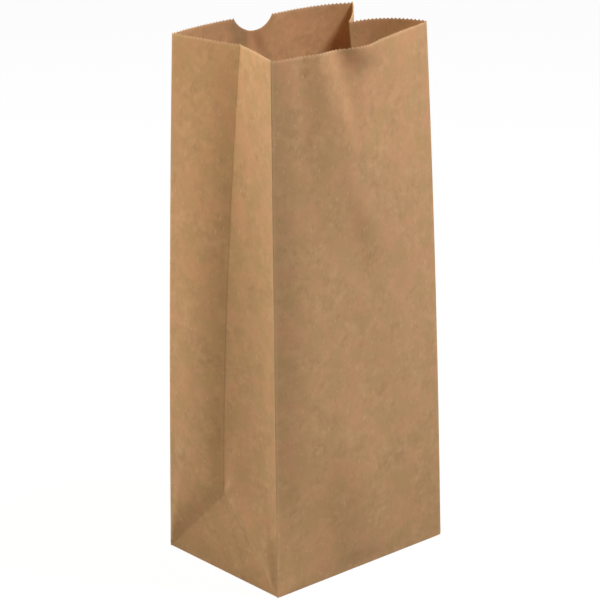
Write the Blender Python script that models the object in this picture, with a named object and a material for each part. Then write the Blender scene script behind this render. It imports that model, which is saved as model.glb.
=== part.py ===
"""Brown paper lunch bag, open and standing: one folded and glued sheet of paper.

Units are metres. X runs along the front panel, Y from front to rear and Z up.
The origin is the middle of the base, on the surface that the bag stands on.
"""

import math

import bmesh
import bpy
from mathutils import Vector

# The folded bag: the rectangle of its base, its height along the paper, and the paper
WIDTH = 0.130
DEPTH = 0.097
HEIGHT = 0.312
PAPER = 0.00015

# Toothed edge of the mouth
TOOTH_PITCH = 0.0024
TOOTH_DEPTH = 0.0009

# Thumb notch in the rear panel, a circular arc cut beside the middle
NOTCH_WIDTH = 0.026
NOTCH_DEPTH = 0.0085
NOTCH_FROM_MIDDLE = 0.0036

# Glued seam down the rear panel, two sheets thick
SEAM_WIDTH = 0.012
SEAM_FROM_MIDDLE = 0.014

# Folded bottom: how far the front and rear flaps lap, and how far in from the bottom edge they start
FLAP_LAP = 0.016
FLAP_INSET = 0.0003

# How far each top corner leans from its place above the base, in X and Y
LEAN_FRONT_LEFT = Vector((0.0075, 0.0095))
LEAN_FRONT_RIGHT = Vector((0.0025, 0.0185))
LEAN_REAR_RIGHT = Vector((0.0033, -0.0155))
LEAN_REAR_LEFT = Vector((0.0077, -0.0030))

# How far the corner edges bow outwards half-way up
RIGHT_EDGE_BOW = Vector((0.0016, 0.0))
REAR_LEFT_EDGE_BOW = Vector((-0.0011, 0.0))

# How far the gusset creases are tucked in: at the tip of the bottom triangle and at the mouth
TUCK_AT_TIP = 0.0020
LEFT_TUCK = 0.0192
RIGHT_TUCK = 0.0300
LEFT_TUCK_CURVE = 1.6
RIGHT_TUCK_CURVE = 1.0

# How far each half of a gusset bows out between its corner and its crease: share of the height, then the bow
LEFT_REAR_BOW = ((0.0, 0.0), (0.08, 0.0006), (0.18, 0.0036), (0.32, 0.0052), (0.75, 0.0040), (1.0, 0.0017))
LEFT_FRONT_BOW = ((0.0, 0.0), (0.30, -0.0010), (0.60, -0.0012), (1.0, -0.0002))
RIGHT_FRONT_BOW = ((0.0, 0.0), (0.50, 0.0030), (1.0, 0.0062))
RIGHT_REAR_BOW = ((0.0, 0.0), (0.50, 0.0026), (1.0, 0.0015))

# Outline of each wide panel half-way up: share of its width, then how far it stands out from the straight line
FRONT_MIDDLE = ((0.00, 0.0), (0.05, 0.0015), (0.13, 0.0031), (0.28, 0.0038), (0.72, 0.0042), (1.00, 0.0))
REAR_MIDDLE = ((0.00, 0.0), (0.12, 0.0026), (0.30, 0.0040), (0.70, 0.0040), (0.88, 0.0026), (1.00, 0.0))
MIDDLE_SHAPE_BY = 0.30

# Outline of the mouth, in the same way
FRONT_MOUTH = (
    (0.00, 0.0),
    (0.15, 0.0034),
    (0.25, 0.0068),
    (0.35, 0.0108),
    (0.45, 0.0136),
    (0.50, 0.0138),
    (0.57, 0.0114),
    (0.66, 0.0084),
    (0.82, 0.0041),
    (1.00, 0.0),
)
REAR_MOUTH = (
    (0.00, 0.0),
    (0.12, 0.0046),
    (0.28, 0.0062),
    (0.42, 0.0050),
    (0.54, 0.0056),
    (0.64, 0.0078),
    (0.74, 0.0070),
    (0.86, 0.0046),
    (1.00, 0.0),
)
MOUTH_SHAPE_FROM = 0.55

# Valley that runs down and to the right from the front of the mouth, steeper on its right side
VALLEY_ALONG = 0.0440
VALLEY_SHIFT = 0.0210
VALLEY_BEND = 0.040
VALLEY_LENGTH = 0.072
VALLEY_DEPTH = 0.0037
VALLEY_LEFT = 0.0090
VALLEY_RIGHT = 0.0050
VALLEY_SPREAD = 0.20

# Soft waves of the front panel: place along it, height, half width, half height, how far they stand out
WAVES = (
    (0.071, 0.206, 0.014, 0.016, 0.0012),
    (0.062, 0.183, 0.010, 0.016, -0.0013),
    (0.057, 0.055, 0.017, 0.036, 0.0019),
)

# Crease across the rear panel, where the base folds up when the bag lies flat
CREASE_STAND = 0.0008

# Fineness of the mesh
COLUMN_WIDTH = 0.0072
FOLD_ROWS = 7
UPPER_ROWS = 18
NOTCH_STEPS = 16
PLAIN_RIM = 0.0030

PAPER_COLOUR = (0.410, 0.240, 0.118, 1.0)
PAPER_ROUGHNESS = 0.85

GUSSET_HALF = DEPTH / 2
FLAP_LENGTH = GUSSET_HALF + FLAP_LAP / 2
BASE_LEVEL = 2 * PAPER
PANELS = (
    ("front", WIDTH),
    ("right_front", GUSSET_HALF),
    ("right_rear", GUSSET_HALF),
    ("rear", WIDTH),
    ("left_rear", GUSSET_HALF),
    ("left_front", GUSSET_HALF),
)
CORNERS = {
    "front_left": (Vector((-WIDTH / 2, -DEPTH / 2)), LEAN_FRONT_LEFT, Vector((0.0, 0.0))),
    "front_right": (Vector((WIDTH / 2, -DEPTH / 2)), LEAN_FRONT_RIGHT, RIGHT_EDGE_BOW),
    "rear_right": (Vector((WIDTH / 2, DEPTH / 2)), LEAN_REAR_RIGHT, RIGHT_EDGE_BOW),
    "rear_left": (Vector((-WIDTH / 2, DEPTH / 2)), LEAN_REAR_LEFT, REAR_LEFT_EDGE_BOW),
}
BOWS = {
    "left_rear": LEFT_REAR_BOW,
    "left_front": LEFT_FRONT_BOW,
    "right_front": RIGHT_FRONT_BOW,
    "right_rear": RIGHT_REAR_BOW,
}


def clear_scene():
    for obj in list(bpy.data.objects):
        bpy.data.objects.remove(obj, do_unlink=True)


def ease(value, start, end):
    """0 before start, 1 after end, and a smooth rise between them."""
    share = min(max((value - start) / (end - start), 0.0), 1.0)
    return share * share * (3 - 2 * share)


def through(points, place):
    """Height at this place of a smooth curve through the points."""
    last = len(points) - 2
    left = max(i for i in range(last + 1) if points[i][0] <= place or i == 0)
    before, start = points[max(left - 1, 0)], points[left]
    end, after = points[left + 1], points[min(left + 2, last + 1)]
    span = end[0] - start[0]
    share = (place - start[0]) / span
    slope_in = span * (end[1] - before[1]) / (end[0] - before[0])
    slope_out = span * (after[1] - start[1]) / (after[0] - start[0])
    rest = 1 - share
    return (
        start[1] * rest * rest * (1 + 2 * share)
        + end[1] * share * share * (3 - 2 * share)
        + slope_in * share * rest * rest
        - slope_out * share * share * rest
    )


def corner(name, up):
    """Plan place of a folded corner edge at this height."""
    foot, lean, bow = CORNERS[name]
    rise = up / HEIGHT
    return foot + lean * rise + bow * (4 * rise * (1 - rise))


def crease(side, up):
    """Plan place of a gusset's crease at this height, at or above the tip of the bottom triangle."""
    rise = (up - GUSSET_HALF) / (HEIGHT - GUSSET_HALF)
    if side == "left":
        tuck = TUCK_AT_TIP + (LEFT_TUCK - TUCK_AT_TIP) * rise**LEFT_TUCK_CURVE
        return Vector((tuck - WIDTH / 2, 0.0))
    tuck = TUCK_AT_TIP + (RIGHT_TUCK - TUCK_AT_TIP) * rise**RIGHT_TUCK_CURVE
    return Vector((WIDTH / 2 - tuck, 0.0))


def outward(start, end):
    """Plan direction out of the bag, for a panel that runs from start to end."""
    run = (end - start).normalized()
    return Vector((run.y, -run.x))


def valley(along, up):
    """How far the valley under the front of the mouth stands out here: a negative height."""
    below = max(HEIGHT - up, 0.0)
    middle = VALLEY_ALONG + VALLEY_SHIFT * (2 * ease(below, -VALLEY_BEND, VALLEY_BEND) - 1)
    half = VALLEY_LEFT if along < middle else VALLEY_RIGHT + VALLEY_SPREAD * below
    depth = VALLEY_DEPTH * (1 - ease(below, 0.0, VALLEY_LENGTH))
    return -depth * math.exp(-(((along - middle) / half) ** 2))


def waves(along, up):
    """How far the soft waves of the front panel stand out here. They end at its folded edges."""
    stand = 0.0
    for place, height, half_width, half_height, size in WAVES:
        across, rise = (along - place) / half_width, (up - height) / half_height
        stand += size * math.exp(-across * across - rise * rise)
    edge = min(along, WIDTH - along, up)
    return stand * ease(edge, 0.0, GUSSET_HALF / 4)


def wide_panel(name, along, up):
    """Plan place of a point of the front or rear panel."""
    share, rise = along / WIDTH, up / HEIGHT
    if name == "front":
        start, end = corner("front_left", up), corner("front_right", up)
        middle, mouth = FRONT_MIDDLE, FRONT_MOUTH
        extra = valley(along, up) + waves(along, up)
    else:
        start, end = corner("rear_right", up), corner("rear_left", up)
        middle, mouth = REAR_MIDDLE, REAR_MOUTH
        fold_row = GUSSET_HALF / FOLD_ROWS
        extra = CREASE_STAND * max(0.0, 1 - abs(up - GUSSET_HALF) / fold_row)
    lower = through(middle, share) * ease(rise, 0.0, MIDDLE_SHAPE_BY)
    open_share = ease(rise, MOUTH_SHAPE_FROM, 1.0)
    stand = lower + (through(mouth, share) - lower) * open_share + extra
    return start.lerp(end, share) + outward(start, end) * stand


def gusset_half(name, along, up):
    """Plan place of a point of one half of a gusset, with its share of the bottom triangle."""
    side, half = name.split("_")
    edge = corner(f"{half}_{side}", up)
    leaving = name in ("right_front", "left_rear")
    from_edge = along if leaving else GUSSET_HALF - along
    if up >= GUSSET_HALF:
        fold, inner, fold_at = crease(side, up), None, GUSSET_HALF
    else:
        foot = CORNERS[f"{half}_{side}"][0]
        tip = crease(side, GUSSET_HALF)
        fold = foot.lerp(tip, up / GUSSET_HALF)
        inner, fold_at = Vector((fold.x, 0.0)), up
    if from_edge > fold_at or fold_at == 0.0:
        return fold.lerp(inner, (from_edge - fold_at) / (GUSSET_HALF - fold_at))
    share = from_edge / fold_at
    bow = through(BOWS[name], up / HEIGHT) * (fold_at / GUSSET_HALF)
    facing = outward(edge, fold) if leaving else outward(fold, edge)
    return edge.lerp(fold, share) + facing * (bow * 4 * share * (1 - share))


def sheet_point(panel, along, up):
    """Place in the folded bag of a point of the sheet. A leaning line of paper keeps its length."""
    plan = wide_panel if panel in ("front", "rear") else gusset_half
    here, foot = plan(panel, along, up), plan(panel, along, 0.0)
    level = math.sqrt(max(up * up - (here - foot).length_squared, 0.0))
    return Vector((here.x, here.y, BASE_LEVEL + level))


def seam_edges():
    """Places along the rear panel of the seam's two edges."""
    middle = WIDTH / 2 + SEAM_FROM_MIDDLE
    return middle - SEAM_WIDTH / 2, middle + SEAM_WIDTH / 2


def in_seam(distance):
    """1 where the paper is doubled at this distance round the sheet, else 0."""
    start, end = (WIDTH + DEPTH + edge for edge in seam_edges())
    return float(start - PAPER / 2 < distance < end + PAPER / 2)


def columns():
    """The sheet's upright lines, in order: panel, place along it, distance round the sheet."""
    found, distance = [], 0.0
    seam_start, seam_end = seam_edges()
    for name, length in PANELS:
        count = max(2, round(length / COLUMN_WIDTH))
        if name not in ("front", "rear"):
            count = FOLD_ROWS
        places = [length * i / count for i in range(count)]
        if name == "rear":
            steps = (seam_start - PAPER, seam_start, seam_end, seam_end + PAPER)
            clear = COLUMN_WIDTH / 4
            places = [p for p in places if all(abs(p - s) > clear for s in steps)]
            places = sorted(places + list(steps))
        found += [(name, place, distance + place) for place in places]
        distance += length
    found.append((PANELS[-1][0], PANELS[-1][1], distance))
    return found


def rows():
    """Heights along the paper of the sheet's level lines, below the toothed band."""
    top = HEIGHT - NOTCH_DEPTH - PLAIN_RIM
    step = GUSSET_HALF / FOLD_ROWS
    low = [step * i for i in range(FOLD_ROWS + 2)]
    rise = (top - low[-1]) / UPPER_ROWS
    return low + [low[-1] + rise * i for i in range(1, UPPER_ROWS + 1)]


def notch_centre():
    """Distance round the sheet to the middle of the thumb notch."""
    return WIDTH + DEPTH + WIDTH / 2 + NOTCH_FROM_MIDDLE


def rim_height(distance):
    """Height along the paper of the cut edge, at this distance round the sheet."""
    across = distance - notch_centre()
    half = NOTCH_WIDTH / 2
    if abs(across) < half:
        radius = (half * half + NOTCH_DEPTH * NOTCH_DEPTH) / (2 * NOTCH_DEPTH)
        return HEIGHT - math.sqrt(radius * radius - across * across) + radius - NOTCH_DEPTH
    phase = (distance / TOOTH_PITCH) % 1.0
    return HEIGHT - TOOTH_DEPTH * (1 - abs(2 * phase - 1))


def rim_places(start, end):
    """Distances round the sheet, between start and end, where the cut edge turns."""
    centre, half, small = notch_centre(), NOTCH_WIDTH / 2, PAPER / 4
    turns = [TOOTH_PITCH / 2 * i for i in range(math.ceil(2 * end / TOOTH_PITCH) + 1)]
    turns = [t for t in turns if abs(t - centre) > half + small]
    arc = [math.pi * i / NOTCH_STEPS for i in range(NOTCH_STEPS + 1)]
    turns += [centre - half * math.cos(angle) for angle in arc]
    return sorted(t for t in turns if start + small < t < end - small)


def fold_sheet():
    """The sheet, one face thick: a flat grid whose points are folded into place, and its base."""
    upright, level = columns(), rows()
    mesh = bmesh.new()
    bmesh.ops.create_grid(
        mesh, x_segments=len(upright) - 1, y_segments=len(level) - 1, size=WIDTH
    )
    doubled = mesh.verts.layers.deform.verify()
    mesh.verts.ensure_lookup_table()
    grid = [mesh.verts[i * len(upright) : (i + 1) * len(upright)] for i in range(len(level))]
    for up, line in zip(level, grid):
        for (panel, along, distance), vertex in zip(upright, line):
            vertex.co = sheet_point(panel, along, up)
            vertex[doubled][0] = in_seam(distance)
    split_along_folds(upright, grid)
    add_rim(mesh, upright, grid[-1])
    bmesh.ops.remove_doubles(mesh, verts=mesh.verts, dist=PAPER / 100)
    foot = sorted((v for v in mesh.verts if abs(v.co.z - BASE_LEVEL) < PAPER / 10), key=bearing)
    mesh.faces.new(reversed(foot))
    bmesh.ops.triangulate(mesh, faces=mesh.faces, quad_method="SHORT_EDGE")
    return mesh


def bearing(vertex):
    return math.atan2(vertex.co.y, vertex.co.x)


def split_along_folds(upright, grid):
    """Splits the gussets' squares along the folds of the bottom triangles."""
    for i in range(FOLD_ROWS):
        for first, (name, _, _) in enumerate(upright):
            if name in ("front", "rear") or (first and upright[first - 1][0] == name):
                continue
            leaving = name in ("right_front", "left_rear")
            low = first + i if leaving else first + FOLD_ROWS - i
            high = first + i + 1 if leaving else first + FOLD_ROWS - i - 1
            bmesh.utils.face_split(
                shared_face(grid[i][low], grid[i + 1][high]), grid[i][low], grid[i + 1][high]
            )


def shared_face(one, other):
    return next(iter(set(one.link_faces) & set(other.link_faces)))


def add_rim(mesh, upright, line):
    """The band up to the cut edge, with its teeth and the thumb notch."""
    doubled = mesh.verts.layers.deform.verify()

    def rim_point(panel, along, distance):
        vertex = mesh.verts.new(sheet_point(panel, along, rim_height(distance)))
        vertex[doubled][0] = in_seam(distance)
        return vertex

    tops = [rim_point(*column) for column in upright]
    for i, (panel, along, start) in enumerate(upright[:-1]):
        places = rim_places(start, upright[i + 1][2])
        between = [rim_point(panel, along + place - start, place) for place in places]
        mesh.faces.new([line[i], line[i + 1], tops[i + 1], *reversed(between), tops[i]])


def paper_material():
    material = bpy.data.materials.new("kraft_paper")
    material.use_nodes = True
    shader = material.node_tree.nodes["Principled BSDF"]
    shader.inputs["Base Color"].default_value = PAPER_COLOUR
    shader.inputs["Roughness"].default_value = PAPER_ROUGHNESS
    shader.inputs["Metallic"].default_value = 0.0
    material.diffuse_color = PAPER_COLOUR
    return material


def flap(name, outline, low_side, high_side):
    """A bottom flap as a thin plate on this outline. Each side is a height, or a function of Y."""
    mesh = bmesh.new()
    sides = []
    for side in (low_side, high_side):
        sides.append([mesh.verts.new((x, y, side(y))) for x, y in outline])
    low, high = sides
    mesh.faces.new(reversed(low))
    mesh.faces.new(high)
    for i in range(len(outline)):
        j = (i + 1) % len(outline)
        mesh.faces.new((low[i], low[j], high[j], high[i]))
    data = bpy.data.meshes.new(name)
    mesh.to_mesh(data)
    mesh.free()
    obj = bpy.data.objects.new(name, data)
    obj.hide_render = True
    obj.display_type = "WIRE"
    bpy.context.scene.collection.objects.link(obj)
    return obj


def bottom_flaps():
    """The folded bottom: front flap outermost, rear flap under its lap, and an end flap on each side inside."""
    long_edge = WIDTH / 2 - FLAP_INSET
    short_edge = WIDTH / 2 - FLAP_LENGTH
    fold_y = GUSSET_HALF - FLAP_INSET
    lap_y = FLAP_LENGTH - GUSSET_HALF
    front = ((-long_edge, -fold_y), (long_edge, -fold_y), (short_edge, lap_y), (-short_edge, lap_y))
    rear = ((short_edge, -lap_y), (long_edge, fold_y), (-long_edge, fold_y), (-short_edge, -lap_y))
    inside = PAPER / 2
    end_x, end_y = WIDTH / 2 - inside, GUSSET_HALF - inside
    right = ((short_edge, -end_y), (end_x, -end_y), (end_x, end_y), (short_edge, end_y))
    left = ((-end_x, -end_y), (-short_edge, -end_y), (-short_edge, end_y), (-end_x, end_y))

    def under_lap(y):
        return PAPER * min(1.0, (fold_y - y) / (fold_y - lap_y))

    in_base = BASE_LEVEL + PAPER / 2
    return (
        flap("front_flap", front, lambda y: 0.0, lambda y: in_base),
        flap("rear_flap", rear, under_lap, lambda y: in_base),
        flap("right_end_flap", right, lambda y: in_base, lambda y: BASE_LEVEL + 2 * PAPER),
        flap("left_end_flap", left, lambda y: in_base, lambda y: BASE_LEVEL + 2 * PAPER),
    )


def lunch_bag():
    """The whole bag: the folded sheet with the paper's thickness, joined to its bottom flaps."""
    mesh = fold_sheet()
    data = bpy.data.meshes.new("bag")
    mesh.to_mesh(data)
    mesh.free()
    data.materials.append(paper_material())
    bag = bpy.data.objects.new("bag", data)
    bpy.context.scene.collection.objects.link(bag)
    seam = bag.vertex_groups.new(name="seam")
    wall = bag.modifiers.new("paper thickness", "SOLIDIFY")
    wall.thickness = 2 * PAPER
    wall.offset = -1.0
    wall.use_even_offset = True
    wall.vertex_group = seam.name
    wall.thickness_vertex_group = 0.5
    for part in bottom_flaps():
        join = bag.modifiers.new(part.name, "BOOLEAN")
        join.operation = "UNION"
        join.solver = "EXACT"
        join.object = part
    return bag


clear_scene()
lunch_bag()
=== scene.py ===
"""A brown paper lunch bag, open and standing: one sheet of kraft paper, folded, glued and worn in.

Metres, with X along the front panel, Y from front to rear and Z up. The bag stands on Z = 0.
"""

import math

import bpy
from mathutils import Matrix, Vector


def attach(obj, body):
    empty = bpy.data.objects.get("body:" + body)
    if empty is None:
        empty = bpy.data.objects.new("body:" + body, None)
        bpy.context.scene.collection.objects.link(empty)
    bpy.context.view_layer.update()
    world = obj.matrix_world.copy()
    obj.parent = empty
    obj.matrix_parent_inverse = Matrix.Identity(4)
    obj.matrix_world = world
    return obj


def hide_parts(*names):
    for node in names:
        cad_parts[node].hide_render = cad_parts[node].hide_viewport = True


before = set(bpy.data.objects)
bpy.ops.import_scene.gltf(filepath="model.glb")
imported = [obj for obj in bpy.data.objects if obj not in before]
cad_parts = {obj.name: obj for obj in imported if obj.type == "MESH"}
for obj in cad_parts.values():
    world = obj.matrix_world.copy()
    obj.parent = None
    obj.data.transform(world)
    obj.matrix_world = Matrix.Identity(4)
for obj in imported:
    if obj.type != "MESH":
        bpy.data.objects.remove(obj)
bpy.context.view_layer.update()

# The folded bag: the rectangle of its base, its height along the paper, and the paper
WIDTH = 0.130
DEPTH = 0.097
HEIGHT = 0.312
PAPER = 0.00015
GUSSET_HALF = DEPTH / 2

# Toothed edge of the mouth and the thumb notch in the rear panel
TOOTH_DEPTH = 0.0009
NOTCH_WIDTH = 0.026
NOTCH_DEPTH = 0.0085
NOTCH_ALONG = WIDTH / 2 + 0.0036
NOTCH_STEPS = 18
PLAIN_RIM = 0.0030
RIM_ROWS = 5

# Glued lap seam down the rear panel, from the sheet's inner edge to its outer edge
SEAM_WIDTH = 0.012
SEAM_START = WIDTH / 2 + 0.014 - SEAM_WIDTH / 2
SEAM_END = SEAM_START + SEAM_WIDTH
SEAM_EASE = 0.010

# Folded bottom: how far its flaps lap, the step from one ply to the next, and the side flaps' rise in plies
FLAP_LAP = 0.016
FLAP_LENGTH = GUSSET_HALF + FLAP_LAP / 2
PLY = 1.1 * PAPER
SIDE_FLAP_RISE = 1.3

# Squares of the sheet's grid, the radius that its folds keep, and the angle past which an edge looks sharp
SQUARE = DEPTH / 40
FOLD_RADIUS = 0.0004
SMOOTH_ANGLE = 40

# Each folded corner edge: its foot, how far its top leans from there, and how far its middle bows outwards
CORNERS = {
    "front_left": (Vector((-WIDTH / 2, -DEPTH / 2)), Vector((0.0075, 0.0095)), Vector((0.0, 0.0))),
    "front_right": (Vector((WIDTH / 2, -DEPTH / 2)), Vector((0.0025, 0.0185)), Vector((0.0016, 0.0))),
    "rear_right": (Vector((WIDTH / 2, DEPTH / 2)), Vector((0.0033, -0.0155)), Vector((0.0016, 0.0))),
    "rear_left": (Vector((-WIDTH / 2, DEPTH / 2)), Vector((0.0077, -0.0030)), Vector((-0.0011, 0.0))),
}

# How far the gusset creases are tucked in: at the tip of the bottom triangle, and at the mouth with the
# power of the height that leads there
TUCK_AT_TIP = 0.0020
TUCKS = {"left": (0.0192, 1.6), "right": (0.0300, 1.0)}

# How far each half of a gusset bows out between its corner and its crease: share of the height, then the bow
BOWS = {
    "left_rear": ((0.0, 0.0), (0.08, 0.0003), (0.18, 0.0020), (0.32, 0.0050), (0.75, 0.0036), (1.0, 0.0010)),
    "left_front": ((0.0, 0.0), (0.08, -0.0022), (0.30, -0.0030), (0.60, -0.0026), (1.0, -0.0004)),
    "right_front": ((0.0, 0.0), (0.50, 0.0030), (1.0, 0.0062)),
    "right_rear": ((0.0, 0.0), (0.50, 0.0026), (1.0, 0.0015)),
}

# Swell of the paper above the slanting folds of the bottom triangle: its height, how far past the fold it
# is highest, and how far past the fold it ends
SWELLS = {
    "left_rear": (0.0020, 0.018, 0.085),
    "left_front": (0.0030, 0.012, 0.050),
    "right_front": (0.0010, 0.012, 0.050),
    "right_rear": (0.0010, 0.012, 0.050),
}

# Shares of a gusset half over which the swell fades out: at its corner, and at its crease
SWELL_AT_CORNER = 0.3
SWELL_AT_CREASE = 0.25
SWELL_LEAST = 0.01

# The left rear half rolls in towards its crease: the factor brings the curve's crown to 1
ROLL = 2.598

# Outline of each wide panel half-way up: share of its width, then how far it stands out from the straight
# line between its corners
MIDDLES = {
    "front": (
        (0.00, 0.0),
        (0.03, 0.0014),
        (0.07, 0.0034),
        (0.12, 0.0050),
        (0.18, 0.0058),
        (0.35, 0.0055),
        (0.72, 0.0044),
        (1.00, 0.0),
    ),
    "rear": ((0.00, 0.0), (0.12, 0.0026), (0.30, 0.0040), (0.70, 0.0040), (0.88, 0.0026), (1.00, 0.0)),
}
MIDDLE_SHAPE_BY = 0.30

# Outline of the mouth, in the same way
MOUTHS = {
    "front": (
        (0.00, 0.0),
        (0.04, 0.0016),
        (0.10, 0.0036),
        (0.15, 0.0046),
        (0.25, 0.0090),
        (0.34, 0.0117),
        (0.40, 0.0131),
        (0.46, 0.0136),
        (0.50, 0.0136),
        (0.57, 0.0114),
        (0.66, 0.0084),
        (0.82, 0.0041),
        (1.00, 0.0),
    ),
    "rear": (
        (0.00, 0.0),
        (0.12, 0.0046),
        (0.28, 0.0062),
        (0.42, 0.0050),
        (0.54, 0.0056),
        (0.64, 0.0078),
        (0.74, 0.0070),
        (0.86, 0.0046),
        (1.00, 0.0),
    ),
}
MOUTH_SHAPE_FROM = 0.55

# Valley that runs down and to the right from the front of the mouth. Its right side is a steep flank at
# the cut edge, and a broad rise further down
VALLEY_ALONG = 0.0440
VALLEY_SHIFT = 0.0195
VALLEY_BEND = 0.070
VALLEY_HOLD = 0.020
VALLEY_LENGTH = 0.088
VALLEY_DEPTH = 0.0034
VALLEY_LEFT = 0.0105
VALLEY_FLANK = 0.0075
VALLEY_RIGHT = 0.032
VALLEY_TURN = 0.016

# Crease across the rear panel, where the base folds up when the bag lies flat
CREASE_STAND = 0.0008
CREASE_HALF = 0.007

# Dents and waves of the handled paper: panel, place along it, height, half width, half height, lean, stand
MARKS = (
    ("front", 0.068, 0.212, 0.010, 0.022, -0.55, 0.0008),
    ("front", 0.062, 0.186, 0.011, 0.018, -0.3, -0.0009),
    ("front", 0.060, 0.149, 0.010, 0.016, 0.0, -0.0007),
    ("front", 0.060, 0.048, 0.019, 0.044, -0.15, 0.0036),
    ("front", 0.108, 0.050, 0.016, 0.040, 0.0, -0.0006),
    ("front", 0.119, 0.122, 0.012, 0.0022, 0.4, 0.0003),
    ("front", 0.119, 0.101, 0.014, 0.0022, 0.3, 0.0003),
    ("rear", 0.0665, 0.295, 0.003, 0.010, 0.28, 0.0007),
)
MARKS_FADE = GUSSET_HALF / 4

# The sheet's panels in order, from its inner glued edge to its outer one, with where each starts and ends
PANELS = (
    ("rear", SEAM_START, WIDTH),
    ("left_rear", 0.0, GUSSET_HALF),
    ("left_front", 0.0, GUSSET_HALF),
    ("front", 0.0, WIDTH),
    ("right_front", 0.0, GUSSET_HALF),
    ("right_rear", 0.0, GUSSET_HALF),
    ("rear", 0.0, SEAM_END),
)
INNER_PLY = 0
OUTER_PLY = len(PANELS) - 1
AFTER_CREASE = (2, 5)

# Worn paper and painted highlight at the cut edge and the upright corner edges: how wide, and how strong at
# a corner edge
RIM_WORN_HIGHLIGHT = 0.0014
CORNER_WORN_HIGHLIGHT = 0.0012
CORNER_HIGHLIGHT_SHARE = 0.45

# Colours of the kraft paper
PAPER_DARK = (0.350, 0.200, 0.096, 1.0)
PAPER_PALE = (0.475, 0.280, 0.143, 1.0)
PAPER_WARM = (0.460, 0.243, 0.128, 1.0)
PAPER_OLIVE = (0.378, 0.232, 0.106, 1.0)
# Paler worn paper with a painted highlight, at the cut edge and the corner edges
PAPER_WORN_HIGHLIGHT = (0.600, 0.400, 0.240, 1.0)
# Painted shade for the creases, the slanting folds and the sheet's outer edge
PAPER_CREASE_SHADE = (0.240, 0.125, 0.055, 1.0)
FIBRE_PALE = (0.640, 0.450, 0.280, 1.0)
FIBRE_DARK = (0.230, 0.110, 0.050, 1.0)

# Its blotches, by the settings of their noise
UP_THE_SHEET = (1.0, 0.10, 1.0)
FIBRE_STRETCH = (1.0, 0.45, 1.0)
BLOTCHES = {
    "warm": {"size": 0.022},
    "olive": {"size": 0.014, "detail": 3.0, "turn": 0.9},
    "clouds": {"size": 0.010, "detail": 3.0},
    "mottle": {"size": 0.0040, "detail": 4.0, "roughness": 0.6},
    "streaks": {"size": 0.0018, "detail": 1.0, "stretch": UP_THE_SHEET},
    "grain": {"size": 0.0008},
    "fibres": {"size": 0.0016, "detail": 0.0, "stretch": FIBRE_STRETCH, "turn": 0.35},
    "crossing_fibres": {"size": 0.0016, "detail": 0.0, "stretch": FIBRE_STRETCH, "turn": -0.6},
    "dark_fibres": {"size": 0.0016, "detail": 0.0, "stretch": FIBRE_STRETCH, "turn": 1.2},
}

# How strongly each one turns the paper paler or darker, and the range of the sum
SHADES = {"clouds": 1.3, "mottle": 1.4, "streaks": 0.2, "grain": 0.2}
SHADE_RANGE = (-0.10, 1.10)

# Levels between which the others come in, and how much they then tint the paper
WARM_RANGE = (0.42, 0.62)
OLIVE_RANGE = (0.45, 0.65)
FIBRE_RANGE = (0.72, 0.84)
DARK_FIBRE_RANGE = (0.70, 0.82)
WARM_SHARE = 0.60
OLIVE_SHARE = 0.65
FIBRE_SHARE = 0.22
DARK_FIBRE_SHARE = 0.20
# How strongly the worn paper and its painted highlight show
WORN_HIGHLIGHT_SHARE = 0.60

# Painted shade: a dark line in the creases and along the sheet's outer edge, fainter in the slanting folds
SHADED_LINE_WIDTH = 0.0008
CREASE_SHADE_SHARE = 0.40
SLANT_SHADE_SHARE = 0.6

# The paper's sheen, its soft glow, and the relief of its fibres
PAPER_ROUGHNESS = 0.80
ROUGHNESS_RANGE = 0.12
PAPER_SPECULAR = 0.30
GLOW_WEIGHT = 0.22
GLOW_RADIUS = (1.0, 0.6, 0.3)
GLOW_SCALE = 0.0006
RELIEF = {"mottle": 0.5, "grain": 0.25, "streaks": 0.15}
FIBRE_RELIEF = 0.5
RELIEF_STRENGTH = 0.35
RELIEF_DEPTH = 0.00012

# Camera
VIEW_PLACE = Vector((-0.96061, -1.08657, 0.66828))
VIEW_TURN = math.radians(-41.3756)
VIEW_DOWN = math.radians(19.5877)
VIEW_ROLL = math.radians(-0.4338)
VIEW_LENS = 159.688
VIEW_SENSOR = 36.0
VIEW_REACH = 50.0

# Floor and sky: what they look like to the rays that show the background, and how they light the bag
WHITE = (1.0, 1.0, 1.0, 1.0)
BACKGROUND_RAYS = ("Is Camera Ray", "Is Glossy Ray", "Is Transmission Ray")
FLOOR_SIZE = 12.0
FLOOR_LEVEL = -0.0002
FLOOR_COLOUR = (0.62, 0.60, 0.56, 1.0)
FLOOR_WHITENESS = 0.95
FLOOR_ROUGHNESS = 0.9
SKY = 0.06

# Lamps: name, place, size, power and colour
LAMP_AIM = Vector((0.0, 0.0, HEIGHT / 2))
LAMPS = (
    ("key", Vector((0.40, -0.48, 1.32)), 0.30, 24.8, (1.0, 1.03, 1.02)),
    ("side", Vector((-0.42, 0.19, 0.76)), 0.26, 4.2, (1.0, 0.98, 0.80)),
    ("back", Vector((-0.30, 0.95, 0.85)), 0.50, 8.0, (1.0, 1.0, 1.0)),
)


# Curves


def ease(value, start, end):
    """0 before start, 1 after end, and a smooth rise between them."""
    share = min(max((value - start) / (end - start), 0.0), 1.0)
    return share * share * (3 - 2 * share)


def bell(offset):
    """1 in the middle, falling off smoothly to both sides."""
    return math.exp(-offset * offset)


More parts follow.
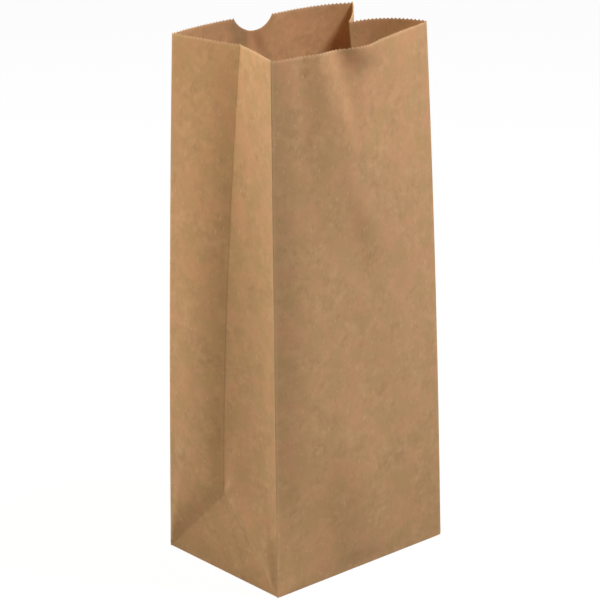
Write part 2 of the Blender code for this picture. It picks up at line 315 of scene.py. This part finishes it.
def through(points, place):
    """Height at this place of a smooth curve through the points."""
    last = len(points) - 2
    left = max(i for i in range(last + 1) if points[i][0] <= place or i == 0)
    before, start = points[max(left - 1, 0)], points[left]
    end, after = points[left + 1], points[min(left + 2, last + 1)]
    span = end[0] - start[0]
    share = (place - start[0]) / span
    slope_in = span * (end[1] - before[1]) / (end[0] - before[0])
    slope_out = span * (after[1] - start[1]) / (after[0] - start[0])
    rest = 1 - share
    return (
        start[1] * rest * rest * (1 + 2 * share)
        + end[1] * share * share * (3 - 2 * share)
        + slope_in * share * rest * rest
        - slope_out * share * share * rest
    )


# The sheet, flat


def panel_starts():
    """Distance across the sheet at which each panel starts."""
    starts = [0.0]
    for _, first, last in PANELS[:-1]:
        starts.append(starts[-1] + (last - first))
    return starts


def sheet_width():
    return sum(last - first for _, first, last in PANELS)


def panel_at(distance):
    """The panel at this distance across the sheet: its number in the order, and the place along it."""
    start = 0.0
    for number, (_, first, last) in enumerate(PANELS):
        if distance <= start + last - first or number == OUTER_PLY:
            return number, first + distance - start
        start += last - first


def wide_lines():
    """Upright lines of a wide panel: in step with the level lines near its corners, even between them."""
    near = [SQUARE * i for i in range(round(FLAP_LENGTH / SQUARE))] + [FLAP_LENGTH]
    gap = WIDTH - 2 * FLAP_LENGTH
    count = max(2, round(gap / SQUARE))
    middle = [FLAP_LENGTH + gap * i / count for i in range(1, count)]
    return near + middle + [WIDTH - place for place in reversed(near)]


def notch_lines():
    """Upright lines of the rear panel that meet the notch's arc at even steps round it."""
    arc = [math.pi * i / NOTCH_STEPS for i in range(NOTCH_STEPS + 1)]
    return [NOTCH_ALONG - NOTCH_WIDTH / 2 * math.cos(angle) for angle in arc]


def upright_lines(name, first, last):
    """Places along a panel, or a part of one, of its upright lines."""
    if name not in ("front", "rear"):
        lines = [SQUARE * i for i in range(round(GUSSET_HALF / SQUARE) + 1)]
        return [0.0, FOLD_RADIUS, *lines[1:-1], GUSSET_HALF - FOLD_RADIUS, GUSSET_HALF]
    lines, clear = wide_lines(), SQUARE / 4
    if name == "rear":
        reach = NOTCH_WIDTH / 2 + clear
        lines = [p for p in lines if abs(p - NOTCH_ALONG) > reach] + notch_lines()
    ends = [first, last]
    if first == 0.0:
        ends.append(FOLD_RADIUS)
    if last == WIDTH:
        ends.append(WIDTH - FOLD_RADIUS)
    return sorted([p for p in lines if first + clear < p < last - clear] + ends)


def level_lines():
    """Heights along the paper of the level lines, from the end of the bottom flaps to the notch."""
    flaps = [-FLAP_LENGTH] + [-SQUARE * i for i in reversed(range(1, round(FLAP_LENGTH / SQUARE)))]
    low = [SQUARE * i for i in range(1, round(GUSSET_HALF / SQUARE))]
    top = HEIGHT - NOTCH_DEPTH - PLAIN_RIM
    count = round((top - GUSSET_HALF) / SQUARE)
    high = [GUSSET_HALF + (top - GUSSET_HALF) * i / count for i in range(count + 1)]
    return [*flaps, -FOLD_RADIUS, 0.0, FOLD_RADIUS, *low, GUSSET_HALF - FOLD_RADIUS, *high]


def rim_height(name, along, between_teeth):
    """Height along the paper of the cut edge, at a tooth or between two."""
    across = along - NOTCH_ALONG
    half = NOTCH_WIDTH / 2
    if name == "rear" and abs(across) < half:
        radius = (half * half + NOTCH_DEPTH * NOTCH_DEPTH) / (2 * NOTCH_DEPTH)
        return HEIGHT - math.sqrt(radius * radius - across * across) + radius - NOTCH_DEPTH
    return HEIGHT - (TOOTH_DEPTH if between_teeth else 0.0)


def flat_sheet():
    """The sheet before it is folded: X across it, Y up it, with its teeth and thumb notch cut."""
    across = []
    for start, (name, first, last) in zip(panel_starts(), PANELS):
        across += [start + place - first for place in upright_lines(name, first, last)[:-1]]
    across.append(sheet_width())
    levels = level_lines()
    bpy.ops.object.select_all(action="DESELECT")
    bpy.ops.mesh.primitive_grid_add(
        x_subdivisions=len(across) - 1, y_subdivisions=len(levels) + RIM_ROWS - 1, size=1
    )
    sheet = bpy.context.object
    sheet.name = sheet.data.name = "paper_sheet"
    split_along_slanting_folds(sheet, across, levels)
    for index, vertex in enumerate(sheet.data.vertices):
        row, column = divmod(index, len(across))
        number, along = panel_at(across[column])
        if row < len(levels):
            up = levels[row]
        else:
            rim = rim_height(PANELS[number][0], along, False)
            up = levels[-1] + (rim - levels[-1]) * (row - len(levels) + 1) / RIM_ROWS
        vertex.co = Vector((across[column], up, 0.0))
    cut_teeth(sheet, across, (len(levels) + RIM_ROWS - 1) * len(across))
    return sheet


def split_along_slanting_folds(sheet, across, levels):
    """Cuts the squares that a slanting fold crosses along that fold."""
    rising, falling = set(), set()
    for face in sheet.data.polygons:
        row, column = divmod(min(face.vertices), len(across))
        if row >= len(levels) - 1:
            continue
        up = (levels[row] + levels[row + 1]) / 2
        number, along = panel_at((across[column] + across[column + 1]) / 2)
        name = PANELS[number][0]
        if 0 < up < GUSSET_HALF and name in ("right_front", "left_rear"):
            rising.add(face.index)
        elif 0 < up < GUSSET_HALF and name in ("right_rear", "left_front"):
            falling.add(face.index)
        elif up < 0 and name in ("front", "rear"):
            (falling if along < WIDTH / 2 else rising).add(face.index)
    cuts = ((rising, "FIXED"), (falling, "FIXED_ALTERNATE"))
    marks = sheet.data.attributes.new("diagonal", "INT", "FACE")
    for value, (faces, _) in enumerate(cuts, start=1):
        for index in faces:
            marks.data[index].value = value
    for value, (_, method) in enumerate(cuts, start=1):
        found = sheet.data.attributes["diagonal"].data
        select_faces(sheet, [mark.value == value for mark in found])
        bpy.ops.object.mode_set(mode="EDIT")
        bpy.ops.mesh.quads_convert_to_tris(quad_method=method, ngon_method="BEAUTY")
        bpy.ops.object.mode_set(mode="OBJECT")
    sheet.data.attributes.remove(sheet.data.attributes["diagonal"])


def select_faces(sheet, chosen):
    """Selects these faces of the sheet and nothing else of it."""
    data = sheet.data
    data.vertices.foreach_set("select", [False] * len(data.vertices))
    data.edges.foreach_set("select", [False] * len(data.edges))
    data.polygons.foreach_set("select", chosen)


def cut_teeth(sheet, across, first):
    """Divides each edge of the top line and draws its middle down, so that the line becomes teeth."""
    data = sheet.data
    data.polygons.foreach_set("select", [False] * len(data.polygons))
    data.vertices.foreach_set("select", [i >= first for i in range(len(data.vertices))])
    data.edges.foreach_set("select", [min(edge.vertices) >= first for edge in data.edges])
    bpy.ops.object.mode_set(mode="EDIT")
    bpy.ops.mesh.select_mode(type="EDGE")
    bpy.ops.mesh.subdivide(number_cuts=1, ngon=True)
    bpy.ops.mesh.select_mode(type="FACE")
    bpy.ops.object.mode_set(mode="OBJECT")
    for vertex in sheet.data.vertices[first + len(across) :]:
        number, along = panel_at(vertex.co.x)
        clear = min(abs(vertex.co.x - tip) for tip in across) > FOLD_RADIUS
        vertex.co.y = rim_height(PANELS[number][0], along, clear)


# The sheet, folded


def corner(name, up):
    """Plan place of a folded corner edge at this height."""
    foot, lean, bow = CORNERS[name]
    rise = up / HEIGHT
    return foot + lean * rise + bow * (4 * rise * (1 - rise))


def crease(side, up):
    """Plan place of a gusset's crease at this height, at or above the tip of the bottom triangle."""
    at_mouth, curve = TUCKS[side]
    rise = (up - GUSSET_HALF) / (HEIGHT - GUSSET_HALF)
    tuck = TUCK_AT_TIP + (at_mouth - TUCK_AT_TIP) * rise**curve
    return Vector((WIDTH / 2 - tuck, 0.0)) if side == "right" else Vector((tuck - WIDTH / 2, 0.0))


def outward(start, end):
    """Plan direction out of the bag, for a panel that runs from start to end."""
    run = (end - start).normalized()
    return Vector((run.y, -run.x))


def wear(name, along, up):
    """How far the worn paper stands out here from its clean fold."""
    stand = 0.0
    for panel, mark_along, mark_up, half_width, half_height, lean, height in MARKS:
        if panel == name:
            across = (along - mark_along - lean * (up - mark_up)) / half_width
            stand += height * bell(across) * bell((up - mark_up) / half_height)
    return stand


def valley(along, up):
    """How far the valley under the front of the mouth stands out here: a negative height."""
    below = max(HEIGHT - up, 0.0)
    middle = VALLEY_ALONG + VALLEY_SHIFT * (2 * ease(below, -VALLEY_BEND, VALLEY_BEND) - 1)
    depth = VALLEY_DEPTH * (1 - ease(below, VALLEY_HOLD, VALLEY_LENGTH))
    aside = along - middle
    if aside < 0:
        return -depth * bell(aside / VALLEY_LEFT)
    turned = ease(below, 0.0, VALLEY_TURN)
    return -depth * (bell(aside / VALLEY_FLANK) * (1 - turned) + bell(aside / VALLEY_RIGHT) * turned)


def wide_panel(name, along, up):
    """Plan place of a point of the front or rear panel."""
    share, rise = along / WIDTH, up / HEIGHT
    if name == "front":
        start, end = corner("front_left", up), corner("front_right", up)
        stand, ridge = valley(along, up), 0.0
    else:
        start, end = corner("rear_right", up), corner("rear_left", up)
        stand, ridge = 0.0, max(0.0, 1 - abs(up - GUSSET_HALF) / CREASE_HALF)
    lower = through(MIDDLES[name], share) * ease(rise, 0.0, MIDDLE_SHAPE_BY)
    open_share = ease(rise, MOUTH_SHAPE_FROM, 1.0)
    stand += lower + (through(MOUTHS[name], share) - lower) * open_share
    held = ease(min(along, WIDTH - along, up), 0.0, MARKS_FADE)
    stand += (wear(name, along, up) + CREASE_STAND * ridge) * held
    return start.lerp(end, share) + outward(start, end) * stand


def swell(name, share, past, up):
    """How far a gusset half swells out, at a share of its width and this far past the slanting fold."""
    height, highest, end = SWELLS[name]
    rise = (ease(past, -highest, highest) * 2 - 1) * (1 - ease(past, highest, end))
    rise *= ease(share, 0.0, SWELL_AT_CORNER)
    if up > GUSSET_HALF:
        fade = SWELL_AT_CREASE * ease(up, GUSSET_HALF, GUSSET_HALF + highest) + SWELL_LEAST
        rise *= ease(1 - share, 0.0, fade)
    return height * rise


def gusset_half(name, along, up):
    """Plan place of a point of one half of a gusset, with its share of the bottom triangle."""
    side, half = name.split("_")
    edge = corner(f"{half}_{side}", up)
    leaving = name in ("right_front", "left_rear")
    from_edge = along if leaving else GUSSET_HALF - along
    if up >= GUSSET_HALF:
        fold, inner, fold_at = crease(side, up), None, GUSSET_HALF
    else:
        foot = CORNERS[f"{half}_{side}"][0]
        tip = crease(side, GUSSET_HALF)
        fold = foot.lerp(tip, up / GUSSET_HALF)
        inner, fold_at = Vector((fold.x, 0.0)), up
    if from_edge > fold_at or fold_at == 0.0:
        return fold.lerp(inner, (from_edge - fold_at) / (GUSSET_HALF - fold_at))
    share = from_edge / fold_at
    bow = through(BOWS[name], up / HEIGHT) * (fold_at / GUSSET_HALF)
    facing = outward(edge, fold) if leaving else outward(fold, edge)
    crown = ROLL * share * (1 - share**2) if name == "left_rear" else 4 * share * (1 - share)
    stand = bow * crown + swell(name, share, up - from_edge, up)
    return edge.lerp(fold, share) + facing * stand


def standing_point(number, along, up, foot_level):
    """Place of a point of the standing paper. A leaning line of paper keeps its length."""
    name = PANELS[number][0]
    plan = wide_panel if name in ("front", "rear") else gusset_half
    here, foot = plan(name, along, up), plan(name, along, 0.0)
    level = math.sqrt(max(up * up - (here - foot).length_squared, 0.0))
    if number == INNER_PLY:
        here = here + Vector((0.0, -PLY * (1 - ease(along, SEAM_END, SEAM_END + SEAM_EASE))))
    return Vector((here.x, here.y, foot_level + level))


def bottom_point(number, along, down):
    """Place of a point of the folded bottom, at this distance past the base's edge."""
    name = PANELS[number][0]
    if name in ("front", "rear"):
        near = min(along, WIDTH - along)
        turn = 1 if name == "front" else -1
        over = 0.0
        if name == "rear":
            over = PLY * min(1.0, down / (DEPTH - FLAP_LENGTH))
            if number == INNER_PLY:
                over += PLY
        if near >= down:
            plan = Vector((along - WIDTH / 2, down - DEPTH / 2)) * turn
            level = over + PLY * (1 - min(1.0, (near - down) / SQUARE))
        else:
            swung = down if along < WIDTH / 2 else WIDTH - down
            plan = Vector((swung - WIDTH / 2, near - DEPTH / 2)) * turn
            level = over + PLY + PLY * min(1.0, (down - near) / SQUARE)
        return Vector((plan.x, plan.y, level))
    sideways = WIDTH / 2 - down
    from_front = {
        "right_front": along,
        "right_rear": GUSSET_HALF + along,
        "left_rear": DEPTH - along,
        "left_front": GUSSET_HALF - along,
    }[name]
    near = min(from_front, DEPTH - from_front)
    level = 2 * PLY + SIDE_FLAP_RISE * PLY * min(1.0, near / SQUARE)
    x = sideways if name.startswith("right") else -sideways
    return Vector((x, from_front - DEPTH / 2, level))


def folded_point(number, along, up):
    """Place in the bag of a point of a panel, above or past the base's edge."""
    if up < 0:
        return bottom_point(number, along, -up)
    foot_level = bottom_point(number, along, 0.0).z
    return standing_point(number, along, up, foot_level)


def across_fold(distance, up):
    """Place in the bag of a point of the sheet, with the upright folds turned over a small radius."""
    number, along = panel_at(distance)
    _, first, last = PANELS[number]
    before, after = along - first, last - along
    if number and before < FOLD_RADIUS:
        fold, share = distance - before, (FOLD_RADIUS + before) / (2 * FOLD_RADIUS)
    elif number < OUTER_PLY and after < FOLD_RADIUS:
        fold, share = distance + after, (FOLD_RADIUS - after) / (2 * FOLD_RADIUS)
    else:
        return folded_point(number, along, up)
    one = folded_point(*panel_at(fold - FOLD_RADIUS), up)
    other = folded_point(*panel_at(fold + FOLD_RADIUS), up)
    return one.lerp(other, share)


def folded(distance, up):
    """The same, with the bottom edge turned over that radius too."""
    if abs(up) >= FOLD_RADIUS:
        return across_fold(distance, up)
    share = (up + FOLD_RADIUS) / (2 * FOLD_RADIUS)
    return across_fold(distance, -FOLD_RADIUS).lerp(across_fold(distance, FOLD_RADIUS), share)


def keep_flat_places(sheet):
    """Keeps each point's place on the flat sheet as the paper's UV map, in shares of its size."""
    data = sheet.data
    flat = data.uv_layers[0]
    flat.name = "flat_sheet"
    low, tall, wide = -FLAP_LENGTH, HEIGHT + FLAP_LENGTH, sheet_width()
    for loop in data.loops:
        place = data.vertices[loop.vertex_index].co
        flat.data[loop.index].uv = (place.x / wide, (place.y - low) / tall)


def worn_highlight_layer(sheet):
    """How near each point lies to the cut edge or a corner edge, for the paler worn paper and painted
    highlight there.
    """
    highlight_layer = sheet.data.attributes.new("worn_highlight", "FLOAT", "POINT")
    starts = panel_starts()
    edges = [starts[i] for i in range(1, len(PANELS)) if i not in AFTER_CREASE]
    for vertex in sheet.data.vertices:
        number, along = panel_at(vertex.co.x)
        from_rim = rim_height(PANELS[number][0], along, False) - vertex.co.y
        from_edge = min(abs(vertex.co.x - edge) for edge in edges)
        worn_highlight = max(1 - from_rim / RIM_WORN_HIGHLIGHT, CORNER_HIGHLIGHT_SHARE * (1 - from_edge / CORNER_WORN_HIGHLIGHT), 0.0)
        highlight_layer.data[vertex.index].value = min(1.0, worn_highlight)


def paper_bag():
    """The whole bag: the flat sheet, folded point by point, with the paper's thickness."""
    sheet = flat_sheet()
    keep_flat_places(sheet)
    worn_highlight_layer(sheet)
    for vertex in sheet.data.vertices:
        vertex.co = folded(vertex.co.x, vertex.co.y)
    sheet.data.update()
    wall = sheet.modifiers.new("paper thickness", "SOLIDIFY")
    wall.thickness = PAPER
    wall.offset = -1.0
    bpy.context.view_layer.objects.active = sheet
    sheet.select_set(True)
    bpy.ops.object.modifier_apply(modifier=wall.name)
    bpy.ops.object.shade_smooth_by_angle(angle=math.radians(SMOOTH_ANGLE))
    sheet.data.materials.append(kraft_paper())
    return sheet


# Finishes


class Value:
    """One output of a finish's nodes. Arithmetic on it adds the nodes that work it out."""

    def __init__(self, finish, socket):
        self.finish = finish
        self.socket = socket

    def _math(self, operation, *values):
        return self.finish.add("ShaderNodeMath", {"operation": operation}, dict(enumerate(values)))

    def __add__(self, other):
        return self._math("ADD", self, other)

    def __radd__(self, other):
        return self._math("ADD", other, self)

    def __sub__(self, other):
        return self._math("SUBTRACT", self, other)

    def __rsub__(self, other):
        return self._math("SUBTRACT", other, self)

    def __mul__(self, other):
        return self._math("MULTIPLY", self, other)

    def __rmul__(self, other):
        return self._math("MULTIPLY", other, self)

    def magnitude(self):
        return self._math("ABSOLUTE", self)


class Finish:
    """The nodes of a material or of the sky, and the one method that adds to them."""

    def __init__(self, owner, shader="Principled BSDF"):
        owner.use_nodes = True
        self.tree = owner.node_tree
        self.shader = self.tree.nodes[shader]

    def add(self, kind, settings=None, inputs=None, output=0):
        """Adds a node: its settings first, then the values or links of its sockets."""
        node = self.tree.nodes.new(kind)
        for name, setting in (settings or {}).items():
            setattr(node, name, setting)
        for name, given in (inputs or {}).items():
            self.feed(node.inputs[name], given)
        return Value(self, node.outputs[output])

    def feed(self, socket, given):
        """Links a value to a socket, or sets the socket."""
        if isinstance(given, Value):
            self.tree.links.new(given.socket, socket)
        else:
            socket.default_value = given

    def hold(self, **constants):
        """Sets sockets of the shader that are the same all over. An underscore stands for a space."""
        for name, value in constants.items():
            self.shader.inputs[name.replace("_", " ")].default_value = value

    def blended(self, share, one, other):
        """A colour between two, by a value from 0 to 1."""
        settings = {"data_type": "RGBA", "blend_type": "MIX"}
        return self.add("ShaderNodeMix", settings, {0: share, 6: one, 7: other}, output=2)

    def spots(self, place, size, stretch=(1.0, 1.0, 1.0), detail=2.0, turn=0.0, roughness=0.5):
        """Cloudy noise whose blotches are about this size in metres, from 0 to 1."""
        turned = self.add(
            "ShaderNodeMapping",
            {"vector_type": "POINT"},
            {"Vector": place, "Rotation": (0.0, 0.0, turn), "Scale": stretch},
        )
        inputs = {"Vector": turned, "Scale": 1 / size, "Detail": detail, "Roughness": roughness}
        return self.add("ShaderNodeTexNoise", {"noise_dimensions": "3D"}, inputs)

    def between(self, value, low, high):
        """The value's place between low and high, held to 0 and 1."""
        inputs = {"Value": value, "From Min": low, "From Max": high}
        return self.add("ShaderNodeMapRange", {"interpolation_type": "SMOOTHSTEP"}, inputs)


def shaded_fold_lines(finish, place):
    """Mask of painted shade: 1 on the creases and on the sheet's outer edge, less on the slanting folds, and
    0 beside them.
    """
    across = finish.add("ShaderNodeSeparateXYZ", {}, {"Vector": place}, output=0)
    up = finish.add("ShaderNodeSeparateXYZ", {}, {"Vector": place}, output=1) - FLAP_LENGTH
    above_tip = finish.between(up, GUSSET_HALF, GUSSET_HALF + SQUARE)
    above_base = finish.between(up, 0.0, SQUARE)
    lines = finish.between(across, sheet_width() - SHADED_LINE_WIDTH, sheet_width())
    for number in AFTER_CREASE:
        aside = (across - panel_starts()[number]).magnitude()
        slant = ((up + aside) - GUSSET_HALF).magnitude()
        lines += finish.between(aside, SHADED_LINE_WIDTH, 0.0) * above_tip
        lines += SLANT_SHADE_SHARE * finish.between(slant, SHADED_LINE_WIDTH, 0.0) * above_base
    return lines


def kraft_paper():
    """Brown kraft paper: blotchy, flecked with fibres, paler at worn edges with a painted highlight, and
    darker in its creases with painted shade.
    """
    material = bpy.data.materials.new("kraft_paper")
    finish = Finish(material)
    sheet = finish.add("ShaderNodeUVMap", {"uv_map": "flat_sheet"})
    size = (sheet_width(), HEIGHT + FLAP_LENGTH, 1.0)
    place = finish.add("ShaderNodeVectorMath", {"operation": "MULTIPLY"}, {0: sheet, 1: size})
    spots = {name: finish.spots(place, **settings) for name, settings in BLOTCHES.items()}
    fleck = finish.between(spots["fibres"], *FIBRE_RANGE)
    fleck += finish.between(spots["crossing_fibres"], *FIBRE_RANGE)
    dark_fleck = finish.between(spots["dark_fibres"], *DARK_FIBRE_RANGE)
    shade = 0.5
    for name, strength in SHADES.items():
        shade = shade + strength * (spots[name] - 0.5)
    colour = finish.blended(finish.between(shade, *SHADE_RANGE), PAPER_DARK, PAPER_PALE)
    warm = finish.between(spots["warm"], *WARM_RANGE)
    olive = finish.between(spots["olive"], *OLIVE_RANGE)
    worn_highlight = finish.add("ShaderNodeAttribute", {"attribute_name": "worn_highlight"}, output=2)
    colour = finish.blended(warm * WARM_SHARE, colour, PAPER_WARM)
    colour = finish.blended(olive * OLIVE_SHARE, colour, PAPER_OLIVE)
    colour = finish.blended(fleck * FIBRE_SHARE, colour, FIBRE_PALE)
    colour = finish.blended(dark_fleck * DARK_FIBRE_SHARE, colour, FIBRE_DARK)
    # Worn paper with a painted highlight at the cut edge and the corner edges
    colour = finish.blended(worn_highlight * WORN_HIGHLIGHT_SHARE, colour, PAPER_WORN_HIGHLIGHT)
    # Painted shade in the creases, the slanting folds and along the sheet's outer edge
    colour = finish.blended(shaded_fold_lines(finish, place) * CREASE_SHADE_SHARE, colour, PAPER_CREASE_SHADE)
    relief = FIBRE_RELIEF * fleck
    for name, strength in RELIEF.items():
        relief += strength * spots[name]
    bump = finish.add(
        "ShaderNodeBump", {}, {"Strength": RELIEF_STRENGTH, "Distance": RELIEF_DEPTH, "Height": relief}
    )
    finish.feed(finish.shader.inputs["Base Color"], colour)
    finish.feed(finish.shader.inputs["Roughness"], PAPER_ROUGHNESS + ROUGHNESS_RANGE * spots["mottle"])
    finish.feed(finish.shader.inputs["Normal"], bump)
    finish.hold(Specular_IOR_Level=PAPER_SPECULAR, Subsurface_Weight=GLOW_WEIGHT)
    finish.hold(Subsurface_Radius=GLOW_RADIUS, Subsurface_Scale=GLOW_SCALE)
    return material


# Studio


def camera():
    """The view of the photograph."""
    data = bpy.data.cameras.new("view")
    data.lens = VIEW_LENS
    data.sensor_width = VIEW_SENSOR
    data.clip_end = VIEW_REACH
    eye = bpy.data.objects.new("view", data)
    turn = Matrix.Rotation(VIEW_TURN, 4, "Z")
    tip = Matrix.Rotation(math.pi / 2 - VIEW_DOWN, 4, "X")
    roll = Matrix.Rotation(VIEW_ROLL, 4, "Z")
    eye.matrix_world = Matrix.Translation(VIEW_PLACE) @ turn @ tip @ roll
    bpy.context.scene.collection.objects.link(eye)
    bpy.context.scene.camera = eye


def soft_lamp(name, place, size, power, colour):
    """A round soft lamp that points at the middle of the bag."""
    data = bpy.data.lights.new(name, "AREA")
    data.shape = "DISK"
    data.size = size
    data.energy = power
    data.color = colour
    lamp = bpy.data.objects.new(name, data)
    aim = (LAMP_AIM - place).to_track_quat("-Z", "Y")
    lamp.matrix_world = Matrix.Translation(place) @ aim.to_matrix().to_4x4()
    bpy.context.scene.collection.objects.link(lamp)


def seen_plainly(finish):
    """1 for the rays that show the background itself, and 0 for those that light the bag by it."""
    rays = [finish.add("ShaderNodeLightPath", output=name) for name in BACKGROUND_RAYS]
    return rays[0] + rays[1] + rays[2]


def white_floor():
    """A pale floor that looks nearly white and keeps the bag's shadow."""
    bpy.ops.object.select_all(action="DESELECT")
    bpy.ops.mesh.primitive_plane_add(size=FLOOR_SIZE, location=(0.0, 0.0, FLOOR_LEVEL))
    floor = bpy.context.object
    floor.name = "floor"
    material = bpy.data.materials.new("floor_white")
    finish = Finish(material)
    seen = seen_plainly(finish)
    colour = finish.blended(seen, FLOOR_COLOUR, WHITE)
    finish.feed(finish.shader.inputs["Base Color"], colour)
    finish.hold(Roughness=FLOOR_ROUGHNESS, Specular_IOR_Level=0.0)
    white = finish.add("ShaderNodeEmission", {}, {"Strength": 1.0})
    parts = {0: seen * FLOOR_WHITENESS, 1: Value(finish, finish.shader.outputs[0]), 2: white}
    mixed = finish.add("ShaderNodeMixShader", {}, parts)
    finish.feed(finish.tree.nodes["Material Output"].inputs["Surface"], mixed)
    floor.data.materials.append(material)


def sky():
    """A dim sky that looks white."""
    world = bpy.data.worlds.new("studio")
    bpy.context.scene.world = world
    finish = Finish(world, "Background")
    finish.hold(Color=WHITE)
    finish.feed(finish.shader.inputs["Strength"], SKY + (1.0 - SKY) * seen_plainly(finish))


camera()
white_floor()
sky()
for lamp in LAMPS:
    soft_lamp(*lamp)
bag = paper_bag()
bag.name = bag.data.name = "paper_bag"
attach(bag, "root")
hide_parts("bag")

bpy.context.scene.view_settings.view_transform = "Standard"
